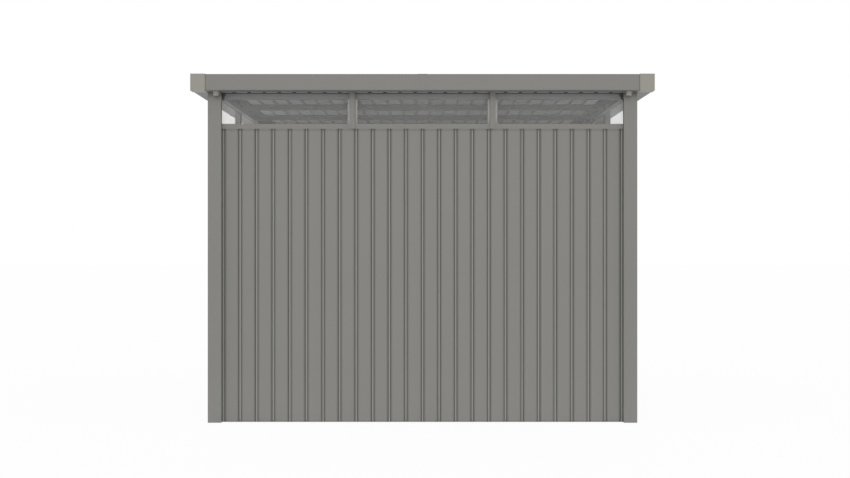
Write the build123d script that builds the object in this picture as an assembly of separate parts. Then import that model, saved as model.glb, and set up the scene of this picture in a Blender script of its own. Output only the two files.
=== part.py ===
from build123d import *
import os
from collections import namedtuple
from math import hypot

# A flat-roofed steel garden shed with a window band all round under a deep
# gutter fascia. Millimetres, +Z up. The origin is at ground level in the
# middle of the plan, +X is the door side and -Y the side with the drains.

# Overall sizes
width_x = 2575.0            # over the corner posts, from the back to the front
width_y = 2575.0            # over the corner posts, from side to side
gutter_z = 1983.0           # underside of the gutter floor
fascia_height = 95.0
overhang = 85.0             # from the face of the posts to the fascia

# Sheet thicknesses
sheet_t = 1.0               # profiled wall and roof sheets
frame_t = 1.5               # folded rails, posts and gutters
cap_t = 2.5                 # moulded corner caps

# Corner posts
post_face = 80.0            # width seen from each side
post_return = 31.0          # from the post face back to the wall sheet
post_lip = 16.0             # lip that the sheet's edge lies behind

# Wall sheets
sheet_end = 46.0            # from the corner to the end of the sheet
groove_pitch = 100.0
groove_width = 41.0
groove_shoulder = 21.0      # width where the shallow edge turns into the steep side
groove_shoulder_depth = 2.4
groove_floor = 8.0
groove_depth = 11.0
sheet_lap = 20.0            # how far the sheet runs up behind the sill rail

# Base rails
base_height = 40.0
base_depth = 45.0           # of the channel behind the sheet

# Window band
sill_bottom_z = 1765.0
sill_height = 30.0
sill_back = 80.0            # inner face of the sill, from the post face
top_rail_bottom_z = 1946.0
top_rail_front = 53.0       # from the post face
top_rail_width = 36.0
top_rail_lip = 4.5          # from the rail's face to the slot for the panes
pane_t = 3.0
pane_clearance = 0.5        # each side of a pane in its channel
pane_pocket = 12.0          # how deep a pane stands in each channel
pane_gap = 2.0              # between two panes behind a mullion
mullion_front = 21.0        # from the post face to the mullion's face
mullion_face = 32.0
mullion_flange = 13.0
mullion_spacing = 846.0     # centre to centre

# Door
door_frame_width = 846.0    # centre to centre of the jambs
door_gap = 3.0              # round the leaf
leaf_depth = 27.0
leaf_flange = 35.0
leaf_grooves = 7
leaf_stop_gap = 0.5         # between the leaf's back and the jamb's stop
lock_rail_height = 60.0
lock_rail_z = 1000.0        # middle of the lock rail and handle
hinge_height = 80.0
hinge_radius = 6.0
hinge_plate = 18.0
hinge_plate_t = 1.5
hinge_z = (260.0, 990.0, 1720.0)
handle_plate_width = 42.0
handle_plate_height = 190.0
handle_plate_t = 4.0
handle_neck_radius = 9.0
handle_reach = 45.0         # from the leaf to the middle of the lever
lever_length = 124.0
lever_width = 19.0
lever_t = 12.0
lever_edge_radius = 4.0

# Roof
rib_pitch = 90.9
rib_base = 25.0
rib_crown = 15.0
rib_height = 10.0
nest_clearance = 0.3        # between two roof sheets that share a rib
rafter_spacing = 620.0
rafter_face = 40.0
rafter_height = 33.5
rafter_flange = 12.0
rafter_gap = 2.0            # between the two halves of a rafter
sleeve_length = 580.0
sleeve_t = 2.0

# Gutter, corner caps and drains
gutter_inner_lap = 5.0      # of the gutter floor over the top of the posts
fascia_return = 25.0        # folded top edge
fascia_lip = 12.0
gutter_gap = 2.0            # between the two halves of a gutter
joint_width = 58.0          # cover over that gap
joint_t = 1.0
cap_flange = 27.5
cap_edge_radius = 2.0
drain_from_middle = 1229.0
drain_inset = 45.0          # from the fascia to the drain's axis
drain_collar_radius = 20.5
drain_collar_height = 12.0
drain_tube_radius = 17.0
drain_tube_height = 16.0
drain_bore_radius = 14.5
drain_neck_radius = 16.5
drain_hole_clearance = 0.3
drain_flange_radius = 22.0
drain_flange_t = 2.0
drain_roof_clearance = 3.0  # from the flange to the edge of the roof sheet

# Heights and depths that follow from the sizes above
roof_z = gutter_z + frame_t
fascia_top_z = gutter_z + fascia_height
sill_top_z = sill_bottom_z + sill_height
roof_overlap = overhang - drain_inset - drain_flange_radius - drain_roof_clearance
channel_gap = pane_t + 2 * pane_clearance
channel_front = top_rail_front + top_rail_lip
pane_front = channel_front + pane_clearance
channel_back = channel_front + channel_gap
top_rail_back = top_rail_front + top_rail_width
rail_front = post_return - frame_t
sheet_back = post_return + groove_depth + sheet_t
base_back = sheet_back + base_depth

# Each wall is drawn as the one that faces -Y, then turned into place.
# run is half its length and out its distance from the middle of the plan.
Wall = namedtuple("Wall", "name angle run out mullion")
walls = (
    Wall("left", 0, width_x / 2, width_y / 2, mullion_spacing / 2),
    Wall("front", 90, width_y / 2, width_x / 2, door_frame_width / 2),
    Wall("right", 180, width_x / 2, width_y / 2, mullion_spacing / 2),
    Wall("back", 270, width_y / 2, width_x / 2, mullion_spacing / 2),
)
left, front, right, back = walls


def folded(points, thickness):
    """Section of a folded sheet, with the steel to the left of the points."""
    inner = []
    for i, (x, y) in enumerate(points):
        normals = []
        for a, b in ((i - 1, i), (i, i + 1)):
            if a >= 0 and b < len(points):
                dx = points[b][0] - points[a][0]
                dy = points[b][1] - points[a][1]
                length = hypot(dx, dy)
                normals.append((-dy / length, dx / length))
        (ax, ay), (bx, by) = normals[0], normals[-1]
        reach = thickness / (1 + ax * bx + ay * by)
        inner.append((x + (ax + bx) * reach, y + (ay + by) * reach))
    return make_face(Polyline(*points, *reversed(inner), close=True))


def block(x, y, z):
    """Box between two values on each axis."""
    size = [high - low for low, high in (x, y, z)]
    corner = (x[0], y[0], z[0])
    return Pos(*corner) * Box(*size, align=(Align.MIN, Align.MIN, Align.MIN))


def place(shape, wall):
    """Turn a piece drawn on the -Y wall onto its own wall."""
    return Rot(0, 0, wall.angle) * shape


def bar(points, thickness, wall, start, end):
    """Folded rail along a wall. Points are (depth from the post face, z)."""
    section = Plane(origin=(start, -wall.out, 0), x_dir=(0, 1, 0), z_dir=(1, 0, 0))
    return extrude(section * folded(points, thickness), end - start)


def mitred(points, thickness, wall, reach=0.0):
    """Folded rail as long as its wall, mitred at both corners."""
    rail = bar(points, thickness, wall, -wall.run - reach, wall.run + reach)
    for end in (-1, 1):
        corner = (end * wall.run, -wall.out, 0)
        rail = split(rail, bisect_by=Plane(origin=corner, z_dir=(end, 1, 0)), keep=Keep.BOTTOM)
    return rail


def upright(points, thickness, bottom, top):
    """Folded section in plan, drawn upwards."""
    return Pos(0, 0, bottom) * extrude(folded(points, thickness), top - bottom)


# Base rail: a channel on the ground with an outer ledge under the sheet

def base_rail(wall):
    points = [
        (base_back, 0),
        (base_back, base_height),
        (sheet_back, base_height),
        (sheet_back, frame_t),
    ]
    channel = mitred(points, frame_t, wall)
    ledge = mitred([(post_return, 0), (sheet_back + frame_t, 0)], frame_t, wall)
    return place(channel + ledge, wall)


# Corner post: two faces, each with a return and a lip that holds the sheet

def corner_post(x_sign, y_sign):
    points = [
        (post_return, post_face - post_lip),
        (post_return, post_face),
        (0, post_face),
        (0, 0),
        (post_face, 0),
        (post_face, post_return),
        (post_face - post_lip, post_return),
    ]
    post = upright(points, frame_t, 0, gutter_z)
    turn = {(-1, -1): 0, (1, -1): 90, (1, 1): 180, (-1, 1): 270}[(x_sign, y_sign)]
    corner = (x_sign * width_x / 2, y_sign * width_y / 2, 0)
    return Pos(*corner) * Rot(0, 0, turn) * post


# Wall sheets: grooves at an even pitch, counted from the middle of the wall

def grooved(centres, start, end, depth):
    """Points of a grooved sheet whose flats lie at the given depth."""
    rim, shoulder, floor = groove_width / 2, groove_shoulder / 2, groove_floor / 2
    points = [(start, depth)]
    for c in centres:
        points += [
            (c - rim, depth),
            (c - shoulder, depth + groove_shoulder_depth),
            (c - floor, depth + groove_depth),
            (c + floor, depth + groove_depth),
            (c + shoulder, depth + groove_shoulder_depth),
            (c + rim, depth),
        ]
    points.append((end, depth))
    return points


def sheet_part(wall, start, end):
    count = int((wall.run - sheet_end) / groove_pitch)
    half = groove_width / 2
    centres = [k * groove_pitch for k in range(-count, count + 1)]
    centres = [c for c in centres if start + half < c < end - half]
    points = grooved(centres, start, end, post_return - wall.out)
    return upright(points, sheet_t, frame_t, sill_bottom_z + sheet_lap)


def wall_sheet(wall):
    reach = wall.run - sheet_end
    if wall is not front:
        return place(sheet_part(wall, -reach, reach), wall)
    jamb = wall.mullion + mullion_face / 2
    beside = sheet_part(wall, jamb, reach)
    return place(beside + mirror(beside, Plane.YZ), wall)


# Sill rail: the sheet's top edge lies behind its face, and its pocket holds the panes

def sill_points():
    bottom = sill_top_z - pane_pocket
    return [
        (sill_back, sill_bottom_z),
        (sill_back, sill_top_z),
        (channel_back, sill_top_z),
        (channel_back, bottom),
        (channel_front, bottom),
        (channel_front, sill_top_z),
        (rail_front, sill_top_z),
        (rail_front, sill_bottom_z),
    ]


def sill_rail(wall):
    rail = mitred(sill_points(), frame_t, wall)
    for end in (-1, 1):
        across = sorted((end * (wall.run - post_face), end * (wall.run + 1)))
        behind = (-wall.out - 1, -wall.out + post_return)
        rail -= block(across, behind, (sill_bottom_z - 1, sill_top_z + 1))
    if wall is front:
        jamb = wall.mullion + mullion_face / 2
        rail -= block((-jamb, jamb), (-wall.out - 1, -wall.out + sill_back + 1),
                      (sill_bottom_z - 1, sill_top_z + 1))
    return place(rail, wall)


# Top rail: a box under the roof, with a slot below for the panes

def top_rail(wall):
    points = [
        (channel_back, top_rail_bottom_z),
        (top_rail_back, top_rail_bottom_z),
        (top_rail_back, roof_z),
        (top_rail_front, roof_z),
        (top_rail_front, top_rail_bottom_z),
        (channel_front, top_rail_bottom_z),
    ]
    return place(mitred(points, frame_t, wall), wall)


# Mullions and door jambs: hat sections whose flanges hold the panes

def hat(wall, bottom, top):
    half = mullion_face / 2
    flange = half + mullion_flange
    face = mullion_front - wall.out
    flange_face = pane_front - frame_t - wall.out
    points = [
        (-flange, flange_face),
        (-half, flange_face),
        (-half, face),
        (half, face),
        (half, flange_face),
        (flange, flange_face),
    ]
    return upright(points, frame_t, bottom, top)


def before_top_rail(post, wall):
    """Leave only the front of a post where it passes the top rail."""
    half = mullion_face / 2 + mullion_flange + 1
    behind = (top_rail_front - wall.out, pane_front - wall.out + 1)
    return post - block((-half, half), behind, (top_rail_bottom_z, roof_z + 1))


def before_sill(post, wall):
    """Leave only the front of a mullion where it runs down over the sill rail."""
    half = mullion_face / 2 + mullion_flange + 1
    behind = (rail_front - wall.out, pane_front - wall.out + 1)
    return post - block((-half, half), behind, (sill_bottom_z - 1, sill_top_z))


def mullions(wall):
    post = before_top_rail(hat(wall, sill_bottom_z, roof_z), wall)
    post = before_sill(post, wall)
    return [place(Pos(end * wall.mullion, 0, 0) * post, wall) for end in (-1, 1)]


def door_jambs():
    post = before_top_rail(hat(front, base_height, roof_z), front)
    half = mullion_face / 2
    flange = (half, half + mullion_flange + 1)
    behind = (pane_front - frame_t - front.out - 1, pane_front - front.out + 1)
    post -= block(flange, behind, (base_height - 1, sill_top_z))
    jamb = Pos(front.mullion, 0, 0) * post
    return [place(piece, front) for piece in (jamb, mirror(jamb, Plane.YZ))]


# Window panes: clear sheets that stand in the sill and the top rail

def panes(wall):
    end = wall.run - channel_back - pane_gap
    middle = wall.mullion
    spans = [(-end, -middle - pane_gap / 2), (middle + pane_gap / 2, end)]
    if wall is not front:
        spans.append((-middle + pane_gap / 2, middle - pane_gap / 2))
    depth = (pane_front - wall.out, pane_front + pane_t - wall.out)
    height = (sill_top_z - pane_pocket, top_rail_bottom_z + pane_pocket)
    return [place(block(span, depth, height), wall) for span in spans]


# Door: one leaf, a tray with a grooved sheet and a lock rail

leaf_side = front.mullion - mullion_face / 2 - door_gap
leaf_bottom = base_height + door_gap
leaf_top = top_rail_bottom_z - door_gap
leaf_front = pane_front - frame_t - leaf_stop_gap - leaf_depth - front.out
leaf_back = leaf_front + leaf_depth


def inside(distance):
    """Span across the leaf that ends this far in from both of its sides."""
    return (distance - leaf_side, leaf_side - distance)


def door_leaf():
    t, f = frame_t, leaf_flange
    leaf = block(inside(0), (leaf_front, leaf_back), (leaf_bottom, leaf_top))
    leaf -= block(inside(t), (leaf_front - 1, leaf_back - t), (leaf_bottom + t, leaf_top - t))
    leaf -= block(inside(f), (leaf_front - 1, leaf_back + 1), (leaf_bottom + f, leaf_top - f))
    middle = (leaf_grooves - 1) / 2
    centres = [groove_pitch * (k - middle) for k in range(leaf_grooves)]
    points = grooved(centres, *inside(t / 2), leaf_front)
    leaf += upright(points, sheet_t, leaf_bottom + t / 2, leaf_top - t / 2)
    back_of_skin = leaf_front + groove_depth + sheet_t
    low = lock_rail_z - lock_rail_height / 2
    high = lock_rail_z + lock_rail_height / 2
    rail = block(inside(t / 2), (back_of_skin, leaf_back), (low, high))
    rail -= block(inside(t), (back_of_skin + t, leaf_back - t), (low + t, high - t))
    return place(leaf + rail, front)


def door_handle():
    x = leaf_flange + handle_plate_width / 2 - leaf_side
    face = leaf_front
    plate = Plane(origin=(x, face, lock_rail_z), x_dir=(1, 0, 0), z_dir=(0, -1, 0))
    radius = handle_plate_width / 2 - 1
    outline = RectangleRounded(handle_plate_width, handle_plate_height, radius)
    handle = extrude(plate * outline, handle_plate_t)
    handle += extrude(plate * Circle(handle_neck_radius), handle_reach)
    start = (x - lever_width / 2, face - handle_reach, lock_rail_z)
    section = Plane(origin=start, x_dir=(0, 1, 0), z_dir=(1, 0, 0))
    handle += extrude(section * RectangleRounded(lever_t, lever_width, lever_edge_radius), lever_length)
    return place(handle, front)


def door_hinges():
    edge = leaf_side + door_gap / 2
    on_leaf = leaf_front
    on_jamb = mullion_front - front.out
    pin = on_jamb - hinge_radius
    half = hinge_height / 2
    t = hinge_plate_t
    hinge = Pos(edge, pin, 0) * Cylinder(hinge_radius, hinge_height)
    hinge += block((edge, edge + hinge_plate), (on_jamb - t, on_jamb), (-half, half))
    hinge += block((edge - t, edge), (pin, on_leaf), (-half, half))
    hinge += block((edge - hinge_plate, edge), (on_leaf - t, on_leaf), (-half, half))
    return [place(Pos(0, 0, z) * hinge, front) for z in hinge_z]


# Roof sheets: narrow ribs that run from side to side, with a shared rib where two sheets meet

def ribs(centres):
    points = []
    for c in centres:
        points.append((c - rib_base / 2, roof_z))
        points.append((c - rib_crown / 2, roof_z + rib_height))
        points.append((c + rib_crown / 2, roof_z + rib_height))
        points.append((c + rib_base / 2, roof_z))
    return points


def roof_sheet(points):
    reach = width_y / 2 + roof_overlap
    section = Plane(origin=(0, reach, 0), x_dir=(1, 0, 0), z_dir=(0, -1, 0))
    return extrude(section * folded(points, sheet_t), 2 * reach)


def roof_sheets():
    edge = width_x / 2 + roof_overlap
    count = int((edge - rib_base) / rib_pitch - 0.5)
    far = [rib_pitch * (k + 0.5) for k in range(count + 1)]
    shared = -rib_pitch / 2
    back_sheet = roof_sheet([(-edge, roof_z)] + ribs([-c for c in reversed(far)]))
    lift = sheet_t + nest_clearance
    front_points = [
        (shared - rib_crown / 2 - lift, roof_z + rib_height + lift),
        (shared + rib_crown / 2 + lift, roof_z + rib_height + lift),
        (shared + rib_base / 2 + 2 * lift, roof_z),
    ]
    front_sheet = roof_sheet(front_points + ribs(far) + [(edge, roof_z)])
    return front_sheet, back_sheet


# Rafters: two half-length channels under the roof, with a sleeve round the joint

def rafter_places():
    return [k * rafter_spacing for k in (-1, 0, 1)]


def rafters():
    half = rafter_face / 2
    low = roof_z - rafter_height + frame_t
    inner = half - frame_t
    points = [
        (half + rafter_flange, roof_z),
        (inner, roof_z),
        (inner, low),
        (-inner, low),
        (-inner, roof_z),
        (-half - rafter_flange, roof_z),
    ]
    reach = width_x / 2 - top_rail_back
    halves = []
    for y in rafter_places():
        for start, end in ((-reach, -rafter_gap / 2), (rafter_gap / 2, reach)):
            section = Plane(origin=(start, y, 0), x_dir=(0, 1, 0), z_dir=(1, 0, 0))
            halves.append(extrude(section * folded(points, frame_t), end - start))
    return halves


def rafter_sleeves():
    half = rafter_face / 2 + sleeve_t
    low = roof_z - rafter_height - sleeve_t
    high = roof_z - frame_t - 1
    points = [(-half, high), (-half, low), (half, low), (half, high)]
    sleeves = []
    for y in rafter_places():
        section = Plane(origin=(-sleeve_length / 2, y, 0), x_dir=(0, 1, 0), z_dir=(1, 0, 0))
        sleeves.append(extrude(section * folded(points, sleeve_t), sleeve_length))
    return sleeves


# Gutter: fascia, floor and a folded top edge, in two lengths joined in the middle

def drain_axes(wall):
    depth = drain_inset - overhang - wall.out
    return [(end * drain_from_middle, depth) for end in (-1, 1)]


def gutter(wall):
    lip = -overhang + fascia_return
    points = [
        (lip, fascia_top_z - fascia_lip),
        (lip, fascia_top_z),
        (-overhang, fascia_top_z),
        (-overhang, gutter_z),
        (gutter_inner_lap, gutter_z),
    ]
    trough = mitred(points, frame_t, wall, reach=overhang + 1)
    gap = gutter_gap / 2
    trough -= block((-gap, gap), (-wall.out - overhang - 1, -wall.out + gutter_inner_lap + 1),
                    (gutter_z - 1, fascia_top_z + 1))
    if wall in (left, right):
        for x, y in drain_axes(wall):
            hole = Cylinder(drain_neck_radius + drain_hole_clearance, 10)
            trough -= Pos(x, y, gutter_z) * hole
    return place(trough, wall)


def fascia_joint(wall):
    lip = -overhang + fascia_return
    points = [
        (lip, fascia_top_z + joint_t),
        (-overhang - joint_t, fascia_top_z + joint_t),
        (-overhang - joint_t, gutter_z - joint_t),
        (0, gutter_z - joint_t),
    ]
    return place(bar(points, joint_t, wall, -joint_width / 2, joint_width / 2), wall)


# Corner cap: a moulded sleeve over the mitre of two gutters

def corner_cap(x_sign, y_sign):
    outer = overhang + cap_t
    low, high = gutter_z - cap_t, fascia_top_z + cap_t
    cap = block((-outer, 0), (-outer, 0), (low, high))
    cap = fillet(cap.edges().filter_by(Axis.Z).group_by(Axis.X)[0].group_by(Axis.Y)[0], cap_edge_radius)
    cap -= block((-overhang, 1), (-overhang, 1), (gutter_z, fascia_top_z))
    open_from = -outer + cap_flange
    cap -= block((open_from, 1), (open_from, 1), (fascia_top_z - 1, high + 1))
    turn = {(-1, -1): 0, (1, -1): 90, (1, 1): 180, (-1, 1): 270}[(x_sign, y_sign)]
    corner = (x_sign * width_x / 2, y_sign * width_y / 2, 0)
    return Pos(*corner) * Rot(0, 0, turn) * cap


# Drain: a flanged spout through the gutter floor

def drains():
    top = gutter_z + frame_t + drain_flange_t
    collar = gutter_z - drain_collar_height
    foot = collar - drain_tube_height
    outline = Polyline(
        (drain_bore_radius, foot),
        (drain_tube_radius, foot),
        (drain_tube_radius, collar),
        (drain_collar_radius, collar),
        (drain_collar_radius, gutter_z),
        (drain_neck_radius, gutter_z),
        (drain_neck_radius, gutter_z + frame_t),
        (drain_flange_radius, gutter_z + frame_t),
        (drain_flange_radius, top),
        (drain_bore_radius, top),
        close=True,
    )
    spout = revolve(Plane.XZ * make_face(outline), Axis.Z)
    spouts = []
    for wall in (left, right):
        for x, y in drain_axes(wall):
            spouts.append(place(Pos(x, y, 0) * spout, wall))
    return spouts


def write(name, pieces):
    """Write one node, as a single solid or as a compound of like pieces."""
    shapes = pieces if isinstance(pieces, (list, tuple)) else [pieces]
    solids = [solid for shape in shapes for solid in shape.solids()]
    piece = solids[0] if len(solids) == 1 else Compound(children=solids)
    export_step(piece, os.path.join("parts", name + ".step"))


def main():
    os.makedirs("parts", exist_ok=True)
    for wall in walls:
        write("base_rail_" + wall.name, base_rail(wall))
        write("wall_sheet_" + wall.name, wall_sheet(wall))
        write("sill_rail_" + wall.name, sill_rail(wall))
        write("top_rail_" + wall.name, top_rail(wall))
        write("window_panes_" + wall.name, panes(wall))
        write("gutter_" + wall.name, gutter(wall))
    corners = {
        "front_left": (1, -1),
        "front_right": (1, 1),
        "back_left": (-1, -1),
        "back_right": (-1, 1),
    }
    for name, signs in corners.items():
        write("corner_post_" + name, corner_post(*signs))
        write("corner_cap_" + name, corner_cap(*signs))
    write("mullions", mullions(left) + mullions(right) + mullions(back))
    write("door_jambs", door_jambs())
    write("door_leaf", door_leaf())
    write("door_handle", door_handle())
    write("door_hinges", door_hinges())
    front_sheet, back_sheet = roof_sheets()
    write("roof_sheet_front", front_sheet)
    write("roof_sheet_back", back_sheet)
    write("rafters", rafters())
    write("rafter_sleeves", rafter_sleeves())
    write("fascia_joints", [fascia_joint(wall) for wall in walls])
    write("drain_spouts", drains())


main()
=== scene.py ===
import bmesh
import bpy
from math import radians
from mathutils import Matrix


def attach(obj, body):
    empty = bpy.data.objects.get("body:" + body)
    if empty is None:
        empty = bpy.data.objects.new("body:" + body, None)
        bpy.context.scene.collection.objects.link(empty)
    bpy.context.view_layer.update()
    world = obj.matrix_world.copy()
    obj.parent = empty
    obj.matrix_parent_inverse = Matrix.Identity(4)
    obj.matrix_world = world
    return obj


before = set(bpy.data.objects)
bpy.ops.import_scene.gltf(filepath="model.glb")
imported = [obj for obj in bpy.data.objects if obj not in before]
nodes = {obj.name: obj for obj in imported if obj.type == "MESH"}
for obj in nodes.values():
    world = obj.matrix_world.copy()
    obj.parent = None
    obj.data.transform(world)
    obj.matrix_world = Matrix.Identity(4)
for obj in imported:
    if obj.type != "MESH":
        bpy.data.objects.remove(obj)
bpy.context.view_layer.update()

# The camera stands square in front of the shed's side wall, 1.1 m above the
# ground and 6.7 m from the posts, as the photographer's did.

bpy.ops.object.select_all(action="DESELECT")
bpy.ops.object.camera_add(location=(0.0148, -8.0075, 1.1017), rotation=(radians(90), 0, 0))
camera = bpy.context.object
camera.data.sensor_width = 36
camera.data.lens = 47.48
bpy.context.scene.camera = camera
bpy.context.scene.view_settings.view_transform = "Standard"

# A white studio: an even white sky that lights the shed from all round, and
# four large soft lamps, one square in front of each wall.

sky_on_shed = 0.57
lamp_strength = 0.83
lamp_height = 14
lamp_spread = 30

world = bpy.data.worlds.new("studio")
bpy.context.scene.world = world
world.use_nodes = True
tree = world.node_tree
tree.nodes.clear()


def seen_directly(tree):
    """1 for rays from the camera or a mirror or through a pane, else 0."""
    path = tree.nodes.new("ShaderNodeLightPath")
    seen = tree.nodes.new("ShaderNodeMath")
    seen.operation = "MAXIMUM"
    passed = tree.nodes.new("ShaderNodeMath")
    passed.operation = "MAXIMUM"
    tree.links.new(path.outputs["Is Camera Ray"], seen.inputs[0])
    tree.links.new(path.outputs["Is Glossy Ray"], seen.inputs[1])
    tree.links.new(seen.outputs[0], passed.inputs[0])
    tree.links.new(path.outputs["Is Transmission Ray"], passed.inputs[1])
    return passed.outputs[0]


sky_light = tree.nodes.new("ShaderNodeBackground")
sky_light.inputs["Color"].default_value = (1, 1, 1, 1)
sky_light.inputs["Strength"].default_value = sky_on_shed
white_sky = tree.nodes.new("ShaderNodeBackground")
white_sky.inputs["Color"].default_value = (1, 1, 1, 1)
mix_sky = tree.nodes.new("ShaderNodeMixShader")
tree.links.new(seen_directly(tree), mix_sky.inputs[0])
tree.links.new(sky_light.outputs[0], mix_sky.inputs[1])
tree.links.new(white_sky.outputs[0], mix_sky.inputs[2])
world_out = tree.nodes.new("ShaderNodeOutputWorld")
tree.links.new(mix_sky.outputs[0], world_out.inputs["Surface"])

for turn in (0, 90, 180, 270):
    tilt = (radians(90 - lamp_height), 0, radians(turn))
    bpy.ops.object.light_add(type="SUN", location=(0, 0, 6), rotation=tilt)
    lamp = bpy.context.object
    lamp.data.energy = lamp_strength
    lamp.data.angle = radians(lamp_spread)

# The floor is a wide white sheet. The camera sees it pure white but for the
# shed's own faint shadow at its foot.

floor_size = 80
floor_drop = 0.0004            # clear of the undersides that rest on the ground
floor_glow = 0.95              # the rest shows the shed's shadow

bpy.ops.object.select_all(action="DESELECT")
bpy.ops.mesh.primitive_plane_add(size=floor_size, location=(0, 0, -floor_drop))
floor = bpy.context.object
floor.name = "floor"
floor_white = bpy.data.materials.new("floor_white")
floor_white.use_nodes = True
tree = floor_white.node_tree
tree.nodes.clear()
chalk = tree.nodes.new("ShaderNodeBsdfDiffuse")
chalk.inputs["Color"].default_value = (0.97, 0.97, 0.97, 1)
glow = tree.nodes.new("ShaderNodeEmission")
glow.inputs["Strength"].default_value = 1.0
share = tree.nodes.new("ShaderNodeMath")
share.operation = "MULTIPLY"
share.inputs[1].default_value = floor_glow
tree.links.new(seen_directly(tree), share.inputs[0])
mix_floor = tree.nodes.new("ShaderNodeMixShader")
tree.links.new(share.outputs[0], mix_floor.inputs[0])
tree.links.new(chalk.outputs[0], mix_floor.inputs[1])
tree.links.new(glow.outputs[0], mix_floor.inputs[2])
floor_out = tree.nodes.new("ShaderNodeOutputMaterial")
tree.links.new(mix_floor.outputs[0], floor_out.inputs["Surface"])
floor.data.materials.append(floor_white)


# The walls are thin steel sheets with upright grooves, coated with a satin
# grey paint. Painted shade darkens the grooves' steep sides, the band under
# the sill and the foot, a painted highlight lightens the grooves' floors, and
# painted light lifts the tone lower down.

sheet_face = 1.2565            # from the middle of the plan to the flats
groove_depth = 0.011
groove_lift = 1.36             # brings the flats, at the first stop, back to full tone
# Painted shade on the grooves' steep sides; the floors, lifted past full tone, carry a painted
# highlight.
groove_shade_and_highlight = ((0, 0.735), (0.05, 0.70), (0.12, 0.62), (0.21, 0.53), (0.45, 0.46),
                (0.86, 0.45), (0.96, 0.72), (0.99, 1.0))
sill_bottom = 1.765
tone_spread = 0.045


def painted_light_mark(tree, place, axis, clean, dirty, stops):
    """Painted light and shade: a factor by height, or by distance out from the plan's middle, by the
    stops.
    """
    split = tree.nodes.new("ShaderNodeSeparateXYZ")
    tree.links.new(place, split.inputs[0])
    along = split.outputs["Z"]
    if axis == "out":
        sides = []
        for name in ("X", "Y"):
            either_side = tree.nodes.new("ShaderNodeMath")
            either_side.operation = "ABSOLUTE"
            tree.links.new(split.outputs[name], either_side.inputs[0])
            sides.append(either_side)
        farther = tree.nodes.new("ShaderNodeMath")
        farther.operation = "MAXIMUM"
        tree.links.new(sides[0].outputs[0], farther.inputs[0])
        tree.links.new(sides[1].outputs[0], farther.inputs[1])
        along = farther.outputs[0]
    span = tree.nodes.new("ShaderNodeMapRange")
    span.inputs["From Min"].default_value = clean
    span.inputs["From Max"].default_value = dirty
    tree.links.new(along, span.inputs["Value"])
    ramp = tree.nodes.new("ShaderNodeValToRGB")
    points = ramp.color_ramp.elements
    while len(points) < len(stops):
        points.new(0.5)
    for point, (position, level) in zip(points, stops):
        point.position = position
        point.color = (level, level, level, 1)
    tree.links.new(span.outputs[0], ramp.inputs[0])
    return ramp.outputs["Color"]


def paint(name, colour, roughness, grain=900, marks=()):
    """Baked paint on steel: drifting tone, metal dust, fine skin, and marks of painted light and
    shade.
    """
    coat = bpy.data.materials.new(name)
    coat.use_nodes = True
    tree = coat.node_tree
    new = tree.nodes.new
    link = tree.links.new
    surface = tree.nodes["Principled BSDF"]
    place = new("ShaderNodeTexCoord").outputs["Object"]

    drift = new("ShaderNodeTexNoise")
    drift.inputs["Scale"].default_value = 2.1
    drift.inputs["Detail"].default_value = 3
    link(place, drift.inputs["Vector"])

    flake = new("ShaderNodeTexNoise")
    flake.inputs["Scale"].default_value = grain
    flake.inputs["Detail"].default_value = 2
    link(place, flake.inputs["Vector"])

    speck = new("ShaderNodeMath")
    speck.operation = "MULTIPLY"
    speck.inputs[1].default_value = 0.55
    link(flake.outputs["Fac"], speck.inputs[0])
    spread = new("ShaderNodeMath")
    spread.operation = "MULTIPLY_ADD"
    spread.inputs[1].default_value = 0.45
    link(drift.outputs["Fac"], spread.inputs[0])
    link(speck.outputs[0], spread.inputs[2])

    tone = new("ShaderNodeMix")
    tone.data_type = "RGBA"
    tone.inputs["A"].default_value = (*(c * (1 - tone_spread) for c in colour), 1)
    tone.inputs["B"].default_value = (*(c * (1 + tone_spread) for c in colour), 1)
    link(spread.outputs[0], tone.inputs["Factor"])
    result = tone.outputs["Result"]

    # Each mark multiplies the colour by its painted light and shade factor, then scales it.
    for axis, clean, dirty, strength, stops in marks:
        painted_tone = painted_light_mark(tree, place, axis, clean, dirty, stops)
        times = new("ShaderNodeMix")
        times.data_type = "RGBA"
        times.blend_type = "MULTIPLY"
        times.inputs["Factor"].default_value = 1
        link(result, times.inputs["A"])
        link(painted_tone, times.inputs["B"])
        lift = new("ShaderNodeVectorMath")
        lift.operation = "SCALE"
        lift.inputs["Scale"].default_value = strength
        link(times.outputs["Result"], lift.inputs[0])
        result = lift.outputs[0]
    link(result, surface.inputs["Base Color"])

    sheen = new("ShaderNodeMapRange")
    sheen.inputs["To Min"].default_value = roughness - 0.06
    sheen.inputs["To Max"].default_value = roughness + 0.06
    link(drift.outputs["Fac"], sheen.inputs["Value"])
    link(sheen.outputs[0], surface.inputs["Roughness"])

    skin = new("ShaderNodeTexNoise")
    skin.inputs["Scale"].default_value = 620
    skin.inputs["Detail"].default_value = 2
    link(place, skin.inputs["Vector"])
    relief = new("ShaderNodeBump")
    relief.inputs["Strength"].default_value = 0.08
    relief.inputs["Distance"].default_value = 0.0005
    link(skin.outputs["Fac"], relief.inputs["Height"])
    link(relief.outputs[0], surface.inputs["Normal"])
    surface.inputs["Specular IOR Level"].default_value = 0.25
    return coat


def finish_with(material, names):
    """Give carried-over pieces their finish."""
    for name in names:
        slots = nodes[name].data.materials
        slots.clear()
        slots.append(material)


wall_colour = (0.231, 0.227, 0.212)
# Painted shade darkens the sheets within 24 mm of the ground.
foot_shade = ("Z", 0, 0.024, 1, ((0, 0.78), (0.30, 0.86), (0.50, 1.0), (1.0, 1.0)))
# Painted light lifts the tone below 0.9 m, most at the ground.
low_painted_light = ("Z", 0, 0.9, 1.115, ((0, 1.0), (0.35, 0.935), (1.0, 0.897)))
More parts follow.
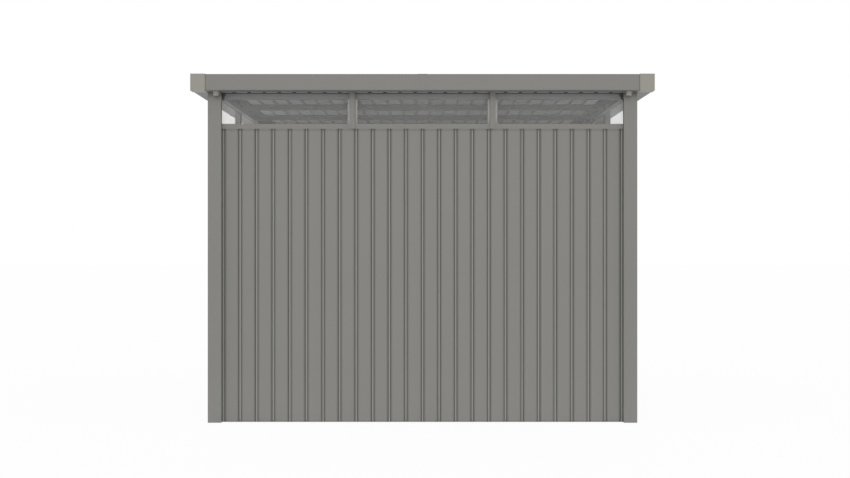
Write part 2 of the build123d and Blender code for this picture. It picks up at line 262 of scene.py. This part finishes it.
# Painted shade darkens a 16 mm band just under the sill.
under_sill_shade = ("Z", sill_bottom - 0.016, sill_bottom, 1,
              ((0, 1.0), (0.38, 0.84), (0.75, 0.85), (1.0, 0.92)))
side_names = ("left", "front", "right", "back")
in_grooves = ("out", sheet_face, sheet_face - groove_depth, groove_lift, groove_shade_and_highlight)
wall_grey = paint("wall_grey", wall_colour, 0.5,
                  marks=(in_grooves, foot_shade, low_painted_light, under_sill_shade))


def inner_coat(coat, colour, towards_room=-0.3):
    """The faces towards the room take the given colour: a plain backing coat on the sheets, painted
    shade on the mullions.
    """
    tree = coat.node_tree
    surface = tree.nodes["Principled BSDF"]
    outside = surface.inputs["Base Color"].links[0].from_socket
    facing = tree.nodes.new("ShaderNodeNewGeometry")
    place = tree.nodes.new("ShaderNodeTexCoord").outputs["Object"]
    level = tree.nodes.new("ShaderNodeVectorMath")
    level.operation = "MULTIPLY"
    level.inputs[1].default_value = (1, 1, 0)
    tree.links.new(place, level.inputs[0])
    outwards = tree.nodes.new("ShaderNodeVectorMath")
    outwards.operation = "DOT_PRODUCT"
    tree.links.new(facing.outputs["True Normal"], outwards.inputs[0])
    tree.links.new(level.outputs[0], outwards.inputs[1])
    to_room = tree.nodes.new("ShaderNodeMath")
    to_room.operation = "LESS_THAN"
    to_room.inputs[1].default_value = towards_room
    tree.links.new(outwards.outputs["Value"], to_room.inputs[0])
    cloud = tree.nodes.new("ShaderNodeTexNoise")
    cloud.inputs["Scale"].default_value = 3
    tree.links.new(place, cloud.inputs["Vector"])
    room_side_tone = tree.nodes.new("ShaderNodeMix")
    room_side_tone.data_type = "RGBA"
    room_side_tone.inputs["A"].default_value = (*(c * 0.95 for c in colour), 1)
    room_side_tone.inputs["B"].default_value = (*(c * 1.05 for c in colour), 1)
    tree.links.new(cloud.outputs["Fac"], room_side_tone.inputs["Factor"])
    sides = tree.nodes.new("ShaderNodeMix")
    sides.data_type = "RGBA"
    tree.links.new(to_room.outputs[0], sides.inputs["Factor"])
    tree.links.new(outside, sides.inputs["A"])
    tree.links.new(room_side_tone.outputs["Result"], sides.inputs["B"])
    tree.links.new(sides.outputs["Result"], surface.inputs["Base Color"])


backing_colour = (0.84, 0.84, 0.82)
inner_coat(wall_grey, backing_colour)
finish_with(wall_grey, ["wall_sheet_" + side for side in side_names])

# The door's leaf is a tray folded from the same grooved sheet, in the same
# coats as the walls. It hangs 2 mm further out than they stand.

leaf_face = 1.2585
# Its grooves carry the same painted shade and highlight as the walls', and painted light lifts its
# tone low down.
in_grooves = ("out", leaf_face, leaf_face - groove_depth, groove_lift, groove_shade_and_highlight)
leaf_grey = paint("leaf_grey", wall_colour, 0.5, marks=(in_grooves, low_painted_light))
inner_coat(leaf_grey, backing_colour)
finish_with(leaf_grey, ["door_leaf"])

# The frame is folded steel in the same grey: posts, sill, mullions, jambs and
# the deep gutters. The posts' and gutters' copies of the grey are a little
# darker, as painted shade. A painted highlight lightens the mullions' flanges
# beside the panes, and painted shade darkens the posts' tops under the gutters
# and lines along the gutters' folds.

frame_colour = (0.226, 0.222, 0.208)
frame_grey = paint("frame_grey", frame_colour, 0.47)
finish_with(frame_grey, ["sill_rail_" + side for side in side_names])
finish_with(frame_grey, ["door_jambs", "door_hinges"])

mullion_front = 1.2665
pane_front = 1.2295
# Painted highlight: the flanges near the panes are painted nearly twice as light as the mullions'
# faces.
flange_highlight = ("out", mullion_front, pane_front, 1.95, ((0, 0.513), (0.91, 0.513), (0.94, 1.0)))
mullion_grey = paint("mullion_grey", frame_colour, 0.47, marks=(flange_highlight,))
# Painted shade: the mullions' faces towards the room are painted near black.
inner_coat(mullion_grey, (0.12, 0.12, 0.12), towards_room=-0.6)
finish_with(mullion_grey, ["mullions"])

gutter_bottom = 1.983
gutter_top = 2.078
# Painted shade darkens the posts towards the gutters above them.
under_gutter_shade = ("Z", 1.90, gutter_bottom, 1, ((0, 1.0), (0.55, 0.97), (1.0, 0.72)))
# The posts' grey is a little darker than the walls', as painted shade.
post_grey = paint("post_grey", (0.222, 0.218, 0.204), 0.47, marks=(under_gutter_shade, low_painted_light))
corner_names = ("front_left", "front_right", "back_left", "back_right")
finish_with(post_grey, ["corner_post_" + corner for corner in corner_names])
# Painted shade darkens a thin line just above the gutters' floor and their top edge.
fold_shade = ("Z", gutter_bottom, gutter_top, 1,
         ((0, 1.0), (0.01, 0.88), (0.06, 1.0), (0.92, 1.0), (1.0, 0.80)))
# The gutters' grey is a little darker still, as painted shade.
gutter_grey = paint("gutter_grey", (0.218, 0.214, 0.200), 0.47, marks=(fold_shade,))
finish_with(gutter_grey, ["gutter_" + side for side in side_names])
finish_with(gutter_grey, ["fascia_joints"])

# The roof sheets carry the shed's grey on top and a pale primer below. On the
# primer, painted shade darkens the parts outside the top rails and up inside
# the ribs.

crevice_shade = ("out", 1.215, 1.255, ((0, 1.0), (0.45, 1.0), (0.55, 0.60), (1.0, 0.52)))
rib_shade = ("Z", 1.9845, 1.9945, ((0, 1.0), (0.05, 1.0), (0.25, 0.76), (1.0, 0.66)))


def pale_below(name, top_colour, below_colour):
    """Coated sheet: one colour on the faces that look up, another with painted shade on the rest."""
    coat = paint(name, top_colour, 0.55)
    tree = coat.node_tree
    surface = tree.nodes["Principled BSDF"]
    top_tone = surface.inputs["Base Color"].links[0].from_socket
    facing = tree.nodes.new("ShaderNodeNewGeometry")
    split = tree.nodes.new("ShaderNodeSeparateXYZ")
    tree.links.new(facing.outputs["True Normal"], split.inputs[0])
    looks_up = tree.nodes.new("ShaderNodeMath")
    looks_up.operation = "GREATER_THAN"
    looks_up.inputs[1].default_value = 0.05
    tree.links.new(split.outputs["Z"], looks_up.inputs[0])
    primer = tree.nodes.new("ShaderNodeVectorMath")
    primer.operation = "MULTIPLY"
    primer.inputs[1].default_value = [b / t for b, t in zip(below_colour, top_colour)]
    tree.links.new(top_tone, primer.inputs[0])
    place = tree.nodes.new("ShaderNodeTexCoord").outputs["Object"]
    below = primer
    for mark in (crevice_shade, rib_shade):
        shaded = tree.nodes.new("ShaderNodeVectorMath")
        shaded.operation = "MULTIPLY"
        tree.links.new(below.outputs[0], shaded.inputs[0])
        tree.links.new(painted_light_mark(tree, place, *mark), shaded.inputs[1])
        below = shaded
    sides = tree.nodes.new("ShaderNodeMix")
    sides.data_type = "RGBA"
    tree.links.new(looks_up.outputs[0], sides.inputs["Factor"])
    tree.links.new(below.outputs[0], sides.inputs["A"])
    tree.links.new(top_tone, sides.inputs["B"])
    tree.links.new(sides.outputs["Result"], surface.inputs["Base Color"])
    return coat


roof_coat = pale_below("roof_coat", (0.25, 0.245, 0.23), (0.93, 0.93, 0.92))
roof_coat.node_tree.nodes["Principled BSDF"].inputs["Specular IOR Level"].default_value = 0.5
finish_with(roof_coat, ["roof_sheet_front", "roof_sheet_back"])

# The rafters and their sleeves are folded steel in a dull primer, painted very
# dark as painted shade. The top rails, which show outside too, have a neutral
# grey coat.

rafter_shade_grey = paint("rafter_shade_grey", (0.095, 0.095, 0.095), 0.55)
rafter_shade_grey.node_tree.nodes["Principled BSDF"].inputs["Specular IOR Level"].default_value = 0.06
finish_with(rafter_shade_grey, ["rafters", "rafter_sleeves"])
rail_grey = paint("rail_grey", (0.262, 0.262, 0.260), 0.55)
finish_with(rail_grey, ["top_rail_" + side for side in side_names])

# The base rails are folded steel channels, left as they came from the zinc
# bath. They lie on the ground behind the sheets, whose foot is riveted to them.

galvanised = paint("galvanised", (0.42, 0.43, 0.44), 0.45, grain=90)
finish_with(galvanised, ["base_rail_" + side for side in side_names])

# The corner caps and drain spouts are moulded in a lighter, warm grey plastic.
# The caps clip over the gutters' mitres, and the spouts hang in their floors.

cap_plastic = paint("cap_plastic", (0.297, 0.282, 0.250), 0.42, grain=700)
finish_with(cap_plastic, ["corner_cap_" + corner for corner in corner_names])
spout_plastic = paint("spout_plastic", (0.305, 0.290, 0.258), 0.42, grain=700)
finish_with(spout_plastic, ["drain_spouts"])

# The handle is brushed stainless steel: a plate with round ends, screwed to
# the leaf's lock rail, and a flat lever on a round neck.

handle_steel = paint("handle_steel", (0.5, 0.5, 0.5), 0.3, grain=300)
handle_steel.node_tree.nodes["Principled BSDF"].inputs["Metallic"].default_value = 1.0
finish_with(handle_steel, ["door_handle"])

# The windows are clear acrylic sheets that stand in the slots of the rails.
# Sun and wind have left them with a slight haze, duller in some places.

acrylic = bpy.data.materials.new("acrylic")
acrylic.use_nodes = True
tree = acrylic.node_tree
surface = tree.nodes["Principled BSDF"]
place = tree.nodes.new("ShaderNodeTexCoord")
haze = tree.nodes.new("ShaderNodeTexNoise")
haze.inputs["Scale"].default_value = 5
haze.inputs["Detail"].default_value = 4
tree.links.new(place.outputs["Object"], haze.inputs["Vector"])
dulled = tree.nodes.new("ShaderNodeMapRange")
dulled.inputs["To Min"].default_value = 0.05
dulled.inputs["To Max"].default_value = 0.13
tree.links.new(haze.outputs["Fac"], dulled.inputs["Value"])
tree.links.new(dulled.outputs[0], surface.inputs["Roughness"])
surface.inputs["Base Color"].default_value = (0.78, 0.78, 0.765, 1)
surface.inputs["Alpha"].default_value = 0.125
surface.inputs["Specular IOR Level"].default_value = 0.1
finish_with(acrylic, ["window_panes_" + side for side in side_names])

# The sheets are riveted to the base rails through every second groove, with
# blind rivets of bright zinc: a low domed head with a dimple in its middle.

rivet_radius = 0.0033
rivet_height = 0.0013
groove_pitch = 0.1
wall_turns = {"left": 0, "front": 90, "right": 180, "back": 270}


def clear_selection():
    if bpy.context.object and bpy.context.object.mode == "EDIT":
        bpy.ops.object.mode_set(mode="OBJECT")
    bpy.ops.object.select_all(action="DESELECT")


def edit(piece):
    """Open a piece for modelling, with nothing in it selected."""
    clear_selection()
    piece.select_set(True)
    bpy.context.view_layer.objects.active = piece
    bpy.ops.object.mode_set(mode="EDIT")
    bpy.ops.mesh.select_all(action="DESELECT")


def on_top(centre, normal):
    return normal.z > 0.9


def pick_faces(piece, wanted):
    """Select the faces whose centre and normal pass a test."""
    bpy.ops.mesh.select_all(action="DESELECT")
    mesh = bmesh.from_edit_mesh(piece.data)
    for face in mesh.faces:
        if wanted(face.calc_center_median(), face.normal):
            face.select_set(True)
    bmesh.update_edit_mesh(piece.data)


def settle(piece, smooth=30):
    """Put a piece's place, turn and size into its mesh, and shade it."""
    clear_selection()
    piece.select_set(True)
    bpy.context.view_layer.objects.active = piece
    bpy.ops.object.transform_apply(location=True, rotation=True, scale=True)
    bpy.ops.object.shade_smooth_by_angle(angle=radians(smooth))


def start_disc(radius, height, sides=12):
    """A disc that stands on the ground plane at the origin."""
    clear_selection()
    bpy.ops.mesh.primitive_cylinder_add(vertices=sides, radius=radius, depth=height,
                                        location=(0, 0, height / 2))
    disc = bpy.context.object
    settle(disc)
    edit(disc)
    return disc


def start_block(x, y, z):
    """A box between two values on each axis."""
    clear_selection()
    bpy.ops.mesh.primitive_cube_add(size=1)
    block = bpy.context.object
    block.scale = [high - low for low, high in (x, y, z)]
    block.location = [(low + high) / 2 for low, high in (x, y, z)]
    settle(block)
    return block


def soften(piece, width, steps=2):
    """Round a piece's edges."""
    clear_selection()
    piece.select_set(True)
    bpy.context.view_layer.objects.active = piece
    bevel = piece.modifiers.new("soft_edges", "BEVEL")
    bevel.width = width
    bevel.segments = steps
    bevel.limit_method = "ANGLE"
    bpy.ops.object.modifier_apply(modifier=bevel.name)
    bpy.ops.object.shade_smooth_by_angle(angle=radians(30))


def on_wall(side, along, out, z):
    """Place on a wall: along it, out from the plan's middle, and up."""
    turn = Matrix.Rotation(radians(wall_turns[side]), 4, "Z")
    stand = Matrix.Rotation(radians(90), 4, "X")
    return turn @ Matrix.Translation((along, -out, z)) @ stand


def turned_to(side):
    return Matrix.Rotation(radians(wall_turns[side]), 4, "Z")


def step_in(width, rise):
    """Inset the picked faces, then raise or sink them."""
    bpy.ops.mesh.inset(thickness=width)
    bpy.ops.transform.translate(value=(0, 0, rise))


def join(parts):
    clear_selection()
    for part in parts:
        part.select_set(True)
    bpy.context.view_layer.objects.active = parts[0]
    if len(parts) > 1:
        bpy.ops.object.join()
    return parts[0]


def set_out(model, name, places, material):
    """Copy a model to each of its places and join the copies into one piece."""
    clear_selection()
    copies = []
    for place in places:
        part = model.copy()
        part.data = model.data.copy()
        part.data.transform(place)
        bpy.context.collection.objects.link(part)
        copies.append(part)
    bpy.data.objects.remove(model)
    piece = join(copies)
    piece.name = name
    piece.data.materials.clear()
    piece.data.materials.append(material)
    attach(piece, "root")
    return piece


def rivet():
    """Low domed head with a mandrel dimple in its middle."""
    head = start_disc(rivet_radius, rivet_height * 0.6)
    pick_faces(head, on_top)
    step_in(rivet_radius * 0.35, rivet_height * 0.4)
    step_in(rivet_radius * 0.3, -rivet_height * 0.3)
    settle(head, 40)
    return head


zinc = paint("zinc", (0.50, 0.51, 0.52), 0.4, grain=300)
foot_z = 0.0085
places = []
for side in side_names:
    for k in range(-12, 13, 2):
        if side != "front" or abs(k) > 4:
            places.append(on_wall(side, k * groove_pitch, sheet_face - groove_depth, foot_z))
set_out(rivet(), "sheet_rivets", places, zinc)

# The same rivets, painted over with the frame, hold the sill rails, mullions,
# jambs and posts, and four of them each cover over a gutter's middle joint.

post_centre = 1.2475
post_side = 1.2875
post_heights = (0.05, 0.62, 1.20, 1.78)
sill_face = 1.258
sill_height = 1.780
sill_along = (0.47, 0.80, 1.12)
sill_middle = 0.15
rail_height = 1.968
mullion_along = 0.423
jamb_heights = (0.08, 0.70, 1.33, rail_height)
fascia_cover = 1.3735
cover_along = 0.021
cover_heights = (2.004, 2.057)

places = []
for side in side_names:
    for end in (-1, 1):
        for z in post_heights:
            places.append(on_wall(side, end * post_centre, post_side, z))
        for along in sill_along:
            places.append(on_wall(side, end * along, sill_face, sill_height))
        for z in jamb_heights if side == "front" else (sill_height, rail_height):
            places.append(on_wall(side, end * mullion_along, mullion_front, z))
    if side != "front":
        places.append(on_wall(side, -sill_middle, sill_face, sill_height))
        places.append(on_wall(side, sill_middle, sill_face, sill_height))
set_out(rivet(), "frame_rivets", places, frame_grey)

places = []
for side in side_names:
    for along in (-cover_along, cover_along):
        for z in cover_heights:
            places.append(on_wall(side, along, fascia_cover, z))
set_out(rivet(), "fascia_rivets", places, gutter_grey)

# Every sixth groove, one panel laps over the next: a folded edge of sheet
# that follows the groove's side, pushed tight against it.

lap_thickness = 0.0006
lap_line = ((-0.0265, 0), (-0.0205, 0), (-0.0105, -0.0024), (-0.0040, -0.0110))
lap_bottom = 0.0015
lap_top = 1.764


def panel_lap():
    """A strip on the flat, folded down the groove's side and given its thickness."""
    clear_selection()
    bpy.ops.mesh.primitive_plane_add(size=1)
    lap = bpy.context.object
    wide = lap_line[1][0] - lap_line[0][0]
    lap.scale = (wide, lap_top - lap_bottom, 1)
    lap.location = (lap_line[0][0] + wide / 2, (lap_top + lap_bottom) / 2, 0)
    settle(lap)
    edit(lap)
    for (x0, d0), (x1, d1) in zip(lap_line[1:], lap_line[2:]):
        bpy.ops.mesh.select_all(action="DESELECT")
        mesh = bmesh.from_edit_mesh(lap.data)
        for edge in mesh.edges:
            if all(abs(vert.co.x - x0) < 1e-5 for vert in edge.verts):
                edge.select_set(True)
        bmesh.update_edit_mesh(lap.data)
        bpy.ops.mesh.extrude_region_move(TRANSFORM_OT_translate={"value": (x1 - x0, 0, d1 - d0)})
    bpy.ops.mesh.select_all(action="SELECT")
    bpy.ops.mesh.normals_make_consistent(inside=False)
    clear_selection()
    lap.select_set(True)
    bpy.context.view_layer.objects.active = lap
    steel = lap.modifiers.new("steel", "SOLIDIFY")
    steel.thickness = lap_thickness
    steel.offset = 1 if lap.data.polygons[0].normal.z > 0 else -1
    bpy.ops.object.modifier_apply(modifier=steel.name)
    bpy.ops.object.shade_flat()
    return lap


places = []
for side in side_names:
    for along in (-0.6, 0, 0.6):
        if side != "front" or along:
            places.append(on_wall(side, along, sheet_face, 0))
set_out(panel_lap(), "panel_laps", places, wall_grey)

# Dark closed-cell foam closes the crevice between the top rails and the roof
# sheets; its dark tone is also painted shade in that crevice. Under each rib it
# has a plug that fills the rib's opening.

foam_back = 1.2345
foam_front = 1.2405
foam_low = 1.9791
roof_under = 1.9845
rib_pitch = 0.0909
foam_spans = ((-1.2335, -0.4410), (-0.4050, 0.4050), (0.4410, 1.2335))
foam_edge = 0.0008
plug_side = 0.0122
plug_room = 0.013              # from a plug's middle to the end of its strip
plug_foot = roof_under - 0.0005
plug_head = roof_under + 0.0096
plug_taper = 0.60

foam_and_shade = bpy.data.materials.new("foam_and_shade")
foam_and_shade.use_nodes = True
tree = foam_and_shade.node_tree
surface = tree.nodes["Principled BSDF"]
place = tree.nodes.new("ShaderNodeTexCoord")
cells = tree.nodes.new("ShaderNodeTexVoronoi")
cells.inputs["Scale"].default_value = 700
tree.links.new(place.outputs["Object"], cells.inputs["Vector"])
cell_tone = tree.nodes.new("ShaderNodeMix")
cell_tone.data_type = "RGBA"
cell_tone.inputs["A"].default_value = (0.075, 0.075, 0.076, 1)
cell_tone.inputs["B"].default_value = (0.125, 0.125, 0.126, 1)
tree.links.new(cells.outputs["Distance"], cell_tone.inputs["Factor"])
tree.links.new(cell_tone.outputs["Result"], surface.inputs["Base Color"])
dents = tree.nodes.new("ShaderNodeBump")
dents.inputs["Strength"].default_value = 0.3
dents.inputs["Distance"].default_value = 0.0006
tree.links.new(cells.outputs["Distance"], dents.inputs["Height"])
tree.links.new(dents.outputs[0], surface.inputs["Normal"])
surface.inputs["Roughness"].default_value = 0.9
surface.inputs["Specular IOR Level"].default_value = 0.2

foam_parts = []
for start, end in foam_spans:
    strip = start_block((start, end), (-foam_front, -foam_back), (foam_low, roof_under))
    soften(strip, foam_edge, 1)
    foam_parts.append(strip)
for start, end in foam_spans:
    for k in range(-14, 14):
        rib = rib_pitch * (k + 0.5)
        if start + plug_room < rib < end - plug_room:
            plug = start_block((rib - plug_side, rib + plug_side), (-foam_front, -foam_back),
                               (plug_foot, plug_head))
            edit(plug)
            pick_faces(plug, on_top)
            bpy.ops.transform.resize(value=(plug_taper, 1, 1))
            settle(plug)
            foam_parts.append(plug)
set_out(join(foam_parts), "rib_foam", [turned_to("left"), turned_to("right")], foam_and_shade)

ends = start_block((foam_spans[0][0], foam_spans[-1][1]), (-foam_front, -foam_back),
                   (foam_low, roof_under))
soften(ends, foam_edge, 1)
set_out(ends, "end_foam", [turned_to("front"), turned_to("back")], foam_and_shade)

# Dark wedges of the same material stand in as painted shade in the top corners
# between each post and the rails. They are as thick as the strips and taper
# down to their foot.

wedge_start = 1.2073
wedge_width = 0.021
wedge_drop = 0.042
wedge_depth = 0.006
wedge_tip = 0.12               # width at the foot, as a share of that at the head

wedge = start_block((wedge_start - wedge_width, wedge_start), (-wedge_depth / 2, wedge_depth / 2),
                    (-wedge_drop, 0))
edit(wedge)
pick_faces(wedge, lambda centre, normal: normal.z < -0.9)
bpy.ops.transform.resize(value=(wedge_tip, 1, 1))
bpy.ops.transform.translate(value=(wedge_width * (1 - wedge_tip) / 2, 0, 0))
settle(wedge)
soften(wedge, 0.0006, 1)
places = []
for side in side_names:
    stand = turned_to(side) @ Matrix.Translation((0, -(foam_back + foam_front) / 2, foam_low))
    places.append(stand)
    places.append(stand @ Matrix.Rotation(radians(180), 4, "Z"))
set_out(wedge, "corner_wedges", places, foam_and_shade)

# A thin dark bead runs round the open edge of each corner cap, on the gutter's
# face and underside, as painted shade along the line where cap and gutter meet.

cap_edge = 1.2874
bead_width = 0.0020
bead_height = 0.0014
fascia_face = 1.3725
bead_back = 1.2885
bead_top = gutter_top - 0.0003


def pull(piece, wanted, move):
    """Extrude the faces that pass a test."""
    pick_faces(piece, wanted)
    bpy.ops.mesh.extrude_region_move(TRANSFORM_OT_translate={"value": move})


bead = start_block((cap_edge - bead_width, cap_edge), (-fascia_face - bead_height, -fascia_face),
                   (gutter_bottom - bead_height, gutter_bottom))
edit(bead)
pull(bead, on_top, (0, 0, bead_top - gutter_bottom))
pull(bead, lambda centre, normal: normal.y > 0.9 and centre.z < gutter_bottom,
     (0, fascia_face - bead_back, 0))
settle(bead)
soften(bead, 0.0006, 2)
edit(bead)
bpy.ops.mesh.select_all(action="SELECT")
bpy.ops.mesh.duplicate()
bpy.ops.transform.mirror(constraint_axis=(True, False, False), center_override=(0, 0, 0))
bpy.ops.mesh.select_all(action="SELECT")
bpy.ops.mesh.remove_doubles(threshold=0.00001)
bpy.ops.mesh.normals_make_consistent(inside=False)
settle(bead)
set_out(bead, "cap_beads", [turned_to(side) for side in side_names], foam_and_shade)

# Folded steel plates carry the ends of the roof sheets along the front and
# back walls. They lie between the rafters and have a lip along their edge.

rail_back = 1.1985
plate_end = rail_back - 0.001
plate_width = 0.072
plate_steel = 0.0013
plate_top = roof_under - 0.0002
plate_lip = 0.010
rafter_side = 0.0205
rafter_lines = (-0.62, 0, 0.62)

lip_face = rail_back - plate_width
starts = [-plate_end] + [line + rafter_side for line in rafter_lines]
finishes = [line - rafter_side for line in rafter_lines] + [plate_end]
plates = []
for start, end in zip(starts, finishes):
    plate = start_block((start, end), (-lip_face - plate_steel, -lip_face),
                        (plate_top - plate_lip, plate_top - plate_steel))
    edit(plate)
    pull(plate, on_top, (0, 0, plate_steel))
    pull(plate, lambda centre, normal: normal.y < -0.9 and centre.z > plate_top - plate_steel,
         (0, plate_steel - plate_width, 0))
    settle(plate)
    plates.append(plate)
# The plates take the rafters' very dark grey, which is painted shade.
set_out(join(plates), "roof_end_plates", [turned_to("front"), turned_to("back")],
        rafter_shade_grey)

# The roof sheets are screwed down to the rafters and side rails, in every
# second bay: hexagon heads over domed steel washers with a rubber seal.

washer_radius = 0.008
hexagon_radius = 0.0046
roof_top = 1.9855
rail_line = 1.2165


def roof_screw():
    washer = start_disc(washer_radius, 0.0010, 16)
    pick_faces(washer, on_top)
    step_in(0.0030, 0.0008)
    settle(washer)
    head = start_disc(hexagon_radius, 0.0048, 6)
    pick_faces(head, on_top)
    step_in(0.0008, 0.0004)
    settle(head)
    return join([washer, head])


places = []
for y in (-rail_line, *rafter_lines, rail_line):
    for k in range(-6, 7):
        places.append(Matrix.Translation((2 * k * rib_pitch, y, roof_top)))
set_out(roof_screw(), "roof_screws", places, zinc)

# The door closes on a seal of dark sponge rubber that fills the gap round its
# leaf, up both sides and over the top, with a narrower nose on its outer face.

leaf_side = 0.404
seal_width = 0.0026
seal_gap = 0.0002
seal_out = 1.2520
seal_back = 1.2370
leaf_low = 0.043
leaf_high = 1.943


def seal_strip(x, z):
    strip = start_block(x, (-seal_out, -seal_back), z)
    edit(strip)
    pick_faces(strip, lambda centre, normal: normal.y < -0.9)
    bpy.ops.mesh.inset(thickness=0.0007)
    bpy.ops.transform.translate(value=(0, -0.0008, 0))
    settle(strip)
    return strip


seal_parts = []
for end in (-1, 1):
    inner = end * (leaf_side + seal_gap)
    outer = inner + end * seal_width
    x = (min(inner, outer), max(inner, outer))
    seal_parts.append(seal_strip(x, (leaf_low, leaf_high + seal_width)))
seal_parts.append(seal_strip((-leaf_side, leaf_side), (leaf_high + seal_gap, leaf_high + seal_width)))
set_out(join(seal_parts), "door_seal", [turned_to("front")], foam_and_shade)

# The handle's plate carries a lock cylinder with a keyway, two countersunk
# screws and a ring round the lever's neck.

handle_along = -0.348
plate_face = 1.2625
handle_z = 1.0
plate_screw_rise = 0.080       # above and below the lever
lock_drop = 0.052
keyway_width = 0.22            # as a share of its height
keyway_depth = 0.0032


def lock_cylinder():
    plug = start_disc(0.0085, 0.0035, 32)
    pick_faces(plug, on_top)
    step_in(0.0009, 0.0006)
    bpy.ops.mesh.inset(thickness=0.0036)
    bpy.ops.transform.resize(value=(keyway_width, 1, 1))
    bpy.ops.mesh.extrude_region_move(TRANSFORM_OT_translate={"value": (0, 0, -keyway_depth)})
    settle(plug)
    return plug


def plate_screw():
    head = start_disc(0.0038, 0.0009, 20)
    pick_faces(head, on_top)
    step_in(0.0008, 0.0004)
    step_in(0.0016, -0.0009)
    settle(head)
    return head


def neck_ring():
    ring = start_disc(0.0155, 0.0045, 32)
    pick_faces(ring, on_top)
    step_in(0.0020, 0.0012)
    settle(ring)
    return ring


def on_plate(rise):
    return on_wall("front", handle_along, plate_face, handle_z + rise)


set_out(lock_cylinder(), "lock_cylinder", [on_plate(-lock_drop)], handle_steel)
set_out(plate_screw(), "plate_screws", [on_plate(-plate_screw_rise), on_plate(plate_screw_rise)],
        handle_steel)
set_out(neck_ring(), "neck_ring", [on_plate(0)], handle_steel)

# Each hinge is held by two screws on the leaf and two on the jamb, and its
# pin has a rounded cap at both ends.

hinge_along = 0.4055
leaf_plate = 1.2600
jamb_plate = 1.2680
pin_out = 1.2725
pin_end = 0.040                # from the hinge's middle
hinge_heights = (0.26, 0.99, 1.72)
hinge_screw_rise = 0.026
hinge_screw_side = 0.011


def pin_cap():
    cap = start_disc(0.0066, 0.0030, 20)
    pick_faces(cap, on_top)
    step_in(0.0020, 0.0012)
    settle(cap)
    return cap


places = []
caps = []
for z in hinge_heights:
    for rise in (-hinge_screw_rise, hinge_screw_rise):
        places.append(on_wall("front", hinge_along - hinge_screw_side, leaf_plate, z + rise))
        places.append(on_wall("front", hinge_along + hinge_screw_side, jamb_plate, z + rise))
    at_pin = Matrix.Translation((pin_out, hinge_along, z))
    to_end = Matrix.Translation((0, 0, pin_end))
    caps.append(at_pin @ to_end)
    caps.append(at_pin @ Matrix.Rotation(radians(180), 4, "X") @ to_end)
set_out(plate_screw(), "hinge_screws", places, frame_grey)
set_out(pin_cap(), "hinge_caps", caps, frame_grey)
